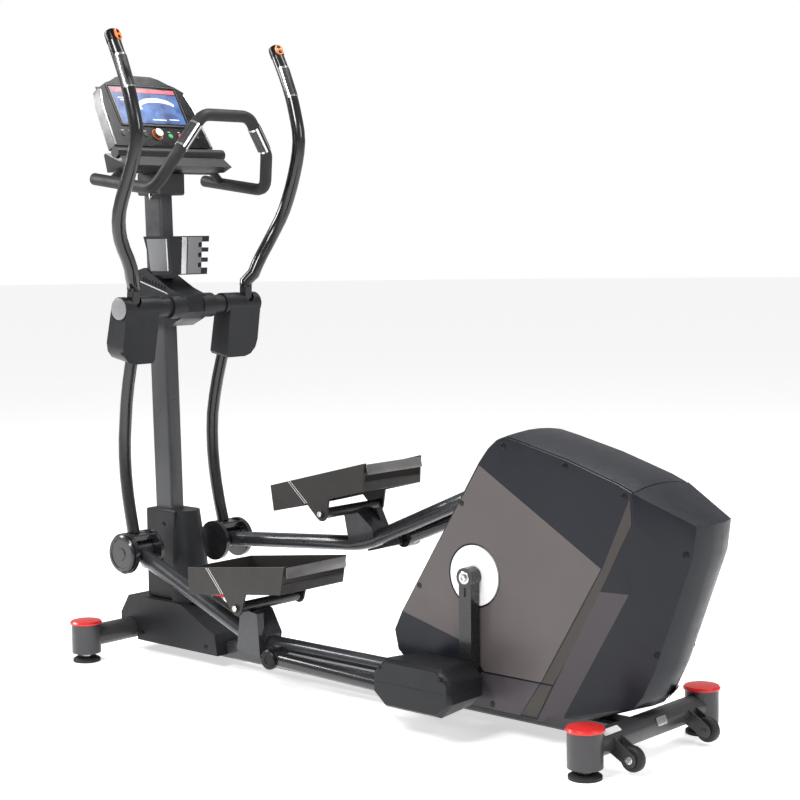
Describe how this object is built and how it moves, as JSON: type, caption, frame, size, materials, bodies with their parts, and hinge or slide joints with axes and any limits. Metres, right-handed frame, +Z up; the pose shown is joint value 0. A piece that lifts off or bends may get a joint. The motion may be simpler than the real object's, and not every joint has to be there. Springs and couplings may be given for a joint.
{
  "type": "elliptical trainer",
  "caption": "Rear-drive elliptical trainer: coupled crank, pedal bars and swinging handles on a steel frame, with a fixed handlebar and console.",
  "frame": {"origin": "centre of the overall footprint, on the floor", "axes": "+X runs from the mast end to the drive housing, +Y towards the right pedal of a user who faces the console, +Z up"},
  "size_m": [1.932, 0.6534, 1.7076],
  "materials": {
    "black_gloss_paint": "gloss",
    "console_black": "gloss",
    "cover_grey": "fine texture",
    "graphite_paint": "satin",
    "green": "satin",
    "iron": "machined",
    "orange": "satin",
    "pedal_brown": "textured",
    "red_cap": "satin",
    "red_key": "satin",
    "rubber": "matte",
    "screen": "gloss",
    "steel": "brushed",
    "tray_grey": "satin",
    "white_disc": "satin"
  },
  "bodies": {
    "base": {"base_cover": "cover_grey", "bottle_holder": "cover_grey", "brake_magnet": "steel", "cap_front_left": "red_cap", "cap_front_right": "red_cap", "cap_rear_left": "red_cap", "cap_rear_right": "red_cap", "console_housing": "console_black", "console_screen": "screen", "console_tray": "tray_grey", "drive_belt": "rubber", "fixed_handlebar": "black_gloss_paint", "front_stabiliser": "graphite_paint", "housing_left": "cover_grey", "housing_rear": "cover_grey", "housing_right": "cover_grey", "housing_wrap": "cover_grey", "main_beam": "graphite_paint", "mast": "graphite_paint", "mast_boot": "cover_grey", "pivot_axle": "steel", "pivot_cover": "cover_grey", "rear_stabiliser": "graphite_paint"},
    "crank": {"crank_spindle": "steel", "crank_disc_left": "white_disc", "crank_disc_right": "white_disc", "crank_arm_left": "graphite_paint", "crank_arm_right": "graphite_paint"},
    "flywheel": {"flywheel": "iron"},
    "arm_left": {"lower_arm_left": "black_gloss_paint", "handle_left": "black_gloss_paint", "grip_cap_left": "cover_grey", "shroud_left": "cover_grey"},
    "bar_left": {"pedal_bar_left": "graphite_paint", "link_tube_left": "black_gloss_paint", "crank_box_upper_left": "cover_grey", "crank_box_lower_left": "cover_grey"},
    "pedal_left": {"pedal_left": "pedal_brown"},
    "wheel_left": {"transport_wheel_left": "rubber"},
    "button_up_left": {"button_up_left": "orange"},
    "button_down_left": {"button_down_left": "orange"},
    "foot_front_left": {"foot_front_left": "rubber"},
    "foot_rear_left": {"foot_rear_left": "rubber"},
    "arm_right": {"lower_arm_right": "black_gloss_paint", "handle_right": "black_gloss_paint", "grip_cap_right": "cover_grey", "shroud_right": "cover_grey"},
    "bar_right": {"pedal_bar_right": "graphite_paint", "link_tube_right": "black_gloss_paint", "crank_box_upper_right": "cover_grey", "crank_box_lower_right": "cover_grey"},
    "pedal_right": {"pedal_right": "pedal_brown"},
    "wheel_right": {"transport_wheel_right": "rubber"},
    "button_up_right": {"button_up_right": "orange"},
    "button_down_right": {"button_down_right": "orange"},
    "foot_front_right": {"foot_front_right": "rubber"},
    "foot_rear_right": {"foot_rear_right": "rubber"},
    "key_start": {"key_start": "green"},
    "key_stop": {"key_stop": "red_key"},
    "dial": {"console_dial": "steel"}
  },
  "joints": [
    {"name": "crank_turn", "type": "hinge", "parent": "base", "child": "crank", "pos_m": [0.373, 0, 0.376], "axis": [0, 1, 0], "range_deg": [-35, 35]},
    {"name": "flywheel_turn", "type": "hinge", "parent": "base", "child": "flywheel", "pos_m": [0.618, 0, 0.376], "axis": [0, 1, 0], "range_deg": [-180, 180]},
    {"name": "arm_swing_left", "type": "hinge", "parent": "base", "child": "arm_left", "pos_m": [-0.728, 0, 0.981], "axis": [0, 1, 0], "range_deg": [-14, 14]},
    {"name": "bar_joint_left", "type": "hinge", "parent": "arm_left", "child": "bar_left", "pos_m": [-0.78848, 0, 0.31102], "axis": [0, 1, 0], "range_deg": [-14, 14]},
    {"name": "pedal_rock_left", "type": "hinge", "parent": "bar_left", "child": "pedal_left", "pos_m": [-0.28095, 0, 0.23629], "axis": [0, 1, 0], "range_deg": [-6, 20]},
    {"name": "wheel_roll_left", "type": "hinge", "parent": "base", "child": "wheel_left", "pos_m": [0.846, -0.15, 0.037], "axis": [0, 1, 0], "continuous": true},
    {"name": "button_press_up_left", "type": "slide", "parent": "arm_left", "child": "button_up_left", "axis": [-0.8847, -0.2402, -0.3995], "range_m": [0, 0.0018], "stiffness_N_per_m": 300, "springref_m": -0.0003},
    {"name": "button_press_down_left", "type": "slide", "parent": "arm_left", "child": "button_down_left", "axis": [-0.8847, -0.2402, -0.3995], "range_m": [0, 0.0018], "stiffness_N_per_m": 300, "springref_m": -0.0003},
    {"name": "foot_screw_front_left", "type": "hinge", "parent": "base", "child": "foot_front_left", "pos_m": [-0.922, -0.232, 0], "axis": [0, 0, 1], "continuous": true},
    {"name": "foot_screw_rear_left", "type": "hinge", "parent": "base", "child": "foot_rear_left", "pos_m": [0.778, -0.232, 0], "axis": [0, 0, 1], "continuous": true},
    {"name": "arm_swing_right", "type": "hinge", "parent": "base", "child": "arm_right", "pos_m": [-0.728, 0, 0.981], "axis": [0, 1, 0], "range_deg": [-14, 14]},
    {"name": "bar_joint_right", "type": "hinge", "parent": "arm_right", "child": "bar_right", "pos_m": [-0.76126, 0, 0.30912], "axis": [0, 1, 0], "range_deg": [-14, 14]},
    {"name": "pedal_rock_right", "type": "hinge", "parent": "bar_right", "child": "pedal_right", "pos_m": [-0.26562, 0, 0.44147], "axis": [0, 1, 0], "range_deg": [-20, 8]},
    {"name": "wheel_roll_right", "type": "hinge", "parent": "base", "child": "wheel_right", "pos_m": [0.846, 0.15, 0.037], "axis": [0, 1, 0], "continuous": true},
    {"name": "button_press_up_right", "type": "slide", "parent": "arm_right", "child": "button_up_right", "axis": [-0.8678, 0.2402, -0.435], "range_m": [0, 0.0018], "stiffness_N_per_m": 300, "springref_m": -0.0003},
    {"name": "button_press_down_right", "type": "slide", "parent": "arm_right", "child": "button_down_right", "axis": [-0.8678, 0.2402, -0.435], "range_m": [0, 0.0018], "stiffness_N_per_m": 300, "springref_m": -0.0003},
    {"name": "foot_screw_front_right", "type": "hinge", "parent": "base", "child": "foot_front_right", "pos_m": [-0.922, 0.232, 0], "axis": [0, 0, 1], "continuous": true},
    {"name": "foot_screw_rear_right", "type": "hinge", "parent": "base", "child": "foot_rear_right", "pos_m": [0.778, 0.232, 0], "axis": [0, 0, 1], "continuous": true},
    {"name": "key_press_start", "type": "slide", "parent": "base", "child": "key_start", "axis": [-0.866, 0, -0.5], "range_m": [0, 0.0018], "stiffness_N_per_m": 300, "springref_m": -0.0003},
    {"name": "key_press_stop", "type": "slide", "parent": "base", "child": "key_stop", "axis": [-0.866, 0, -0.5], "range_m": [0, 0.0018], "stiffness_N_per_m": 300, "springref_m": -0.0003},
    {"name": "dial_turn", "type": "hinge", "parent": "base", "child": "dial", "pos_m": [-0.832, -0.01, 1.45218], "axis": [0.866, 0, 0.5], "range_deg": [-150, 150]}
  ],
  "couplings": [
    {"joint": "flywheel_turn", "follows": "crank_turn", "ratio": 5},
    {"joint": "arm_swing_left", "follows": "crank_turn", "ratio": 0.3293},
    {"joint": "bar_joint_left", "follows": "crank_turn", "ratio": -0.3109},
    {"joint": "arm_swing_right", "follows": "crank_turn", "ratio": -0.3378},
    {"joint": "bar_joint_right", "follows": "crank_turn", "ratio": 0.3237}
  ]
}
